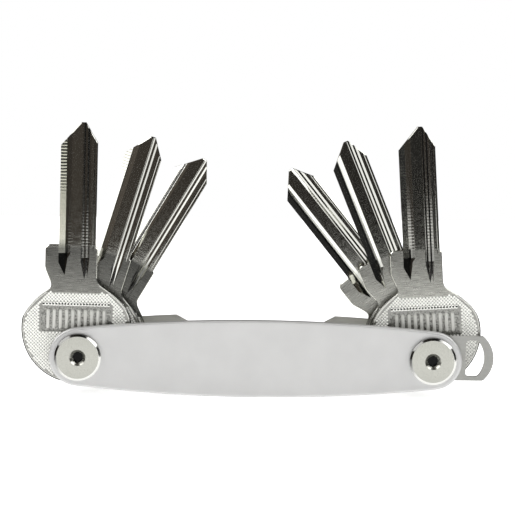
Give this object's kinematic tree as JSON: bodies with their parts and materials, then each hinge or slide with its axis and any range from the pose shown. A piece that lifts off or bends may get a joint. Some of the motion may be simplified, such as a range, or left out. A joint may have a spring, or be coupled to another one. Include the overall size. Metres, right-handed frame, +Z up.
{
  "type": "key organiser",
  "caption": "Slim pocket key organiser: key blanks turn on two posts between a satin aluminium front plate and a steel back plate, with a small loop tab for a ring.",
  "frame": {"origin": "centre of the bounding box's footprint: the handle stands on its long lower edges at Z = 0", "axes": "+X along the handle towards the post with the loop tab, +Y from the front plate to the back plate, +Z up, the way the fanned keys point"},
  "size_m": [0.1138, 0.0204, 0.0655],
  "materials": {
    "anodised_aluminium": "satin, bead-blasted and clear-anodised",
    "brushed_steel": "brushed along its length",
    "turned_steel": "fine turned face, polished bevel",
    "nickel_plated_brass": "nickel-plated, milled blade and stamped bow",
    "spacer_steel": "plain turned"
  },
  "bodies": {
    "handle": {"front_plate": "anodised_aluminium", "back_plate": "brushed_steel", "left_screw": "turned_steel", "left_barrel_nut": "turned_steel", "left_spacer_1": "spacer_steel", "left_spacer_2": "spacer_steel", "left_spacer_3": "spacer_steel", "left_spacer_4": "spacer_steel", "right_screw": "turned_steel", "right_barrel_nut": "turned_steel", "right_spacer_1": "spacer_steel", "right_spacer_2": "spacer_steel", "right_spacer_3": "spacer_steel"},
    "left_key_front": {"left_key_front": "nickel_plated_brass"},
    "left_key_middle": {"left_key_middle": "nickel_plated_brass"},
    "left_key_rear": {"left_key_rear": "nickel_plated_brass"},
    "right_key_front": {"right_key_front": "nickel_plated_brass"},
    "right_key_middle": {"right_key_middle": "nickel_plated_brass"},
    "right_key_rear": {"right_key_rear": "nickel_plated_brass"},
    "loop_tab": {"loop_tab": "brushed_steel"}
  },
  "joints": [
    {"name": "left_key_front_turn", "type": "hinge", "parent": "handle", "child": "left_key_front", "pos_m": [-0.04305, 0, 0.0093], "axis": [0, -1, 0], "range_deg": [-89.2, 90.8]},
    {"name": "left_key_middle_turn", "type": "hinge", "parent": "handle", "child": "left_key_middle", "pos_m": [-0.04305, 0, 0.0093], "axis": [0, -1, 0], "range_deg": [-72.8, 107.2]},
    {"name": "left_key_rear_turn", "type": "hinge", "parent": "handle", "child": "left_key_rear", "pos_m": [-0.04305, 0, 0.0093], "axis": [0, -1, 0], "range_deg": [-59.15, 120.85]},
    {"name": "right_key_front_turn", "type": "hinge", "parent": "handle", "child": "right_key_front", "pos_m": [0.04219, 0, 0.0093], "axis": [0, 1, 0], "range_deg": [-86.5, 93.5]},
    {"name": "right_key_middle_turn", "type": "hinge", "parent": "handle", "child": "right_key_middle", "pos_m": [0.04219, 0, 0.0093], "axis": [0, 1, 0], "range_deg": [-67.8, 112.2]},
    {"name": "right_key_rear_turn", "type": "hinge", "parent": "handle", "child": "right_key_rear", "pos_m": [0.04219, 0, 0.0093], "axis": [0, 1, 0], "range_deg": [-51.05, 128.95]},
    {"name": "loop_tab_turn", "type": "hinge", "parent": "handle", "child": "loop_tab", "pos_m": [0.04219, 0, 0.0093], "axis": [0, 1, 0], "range_deg": [-90, 90]}
  ]
}
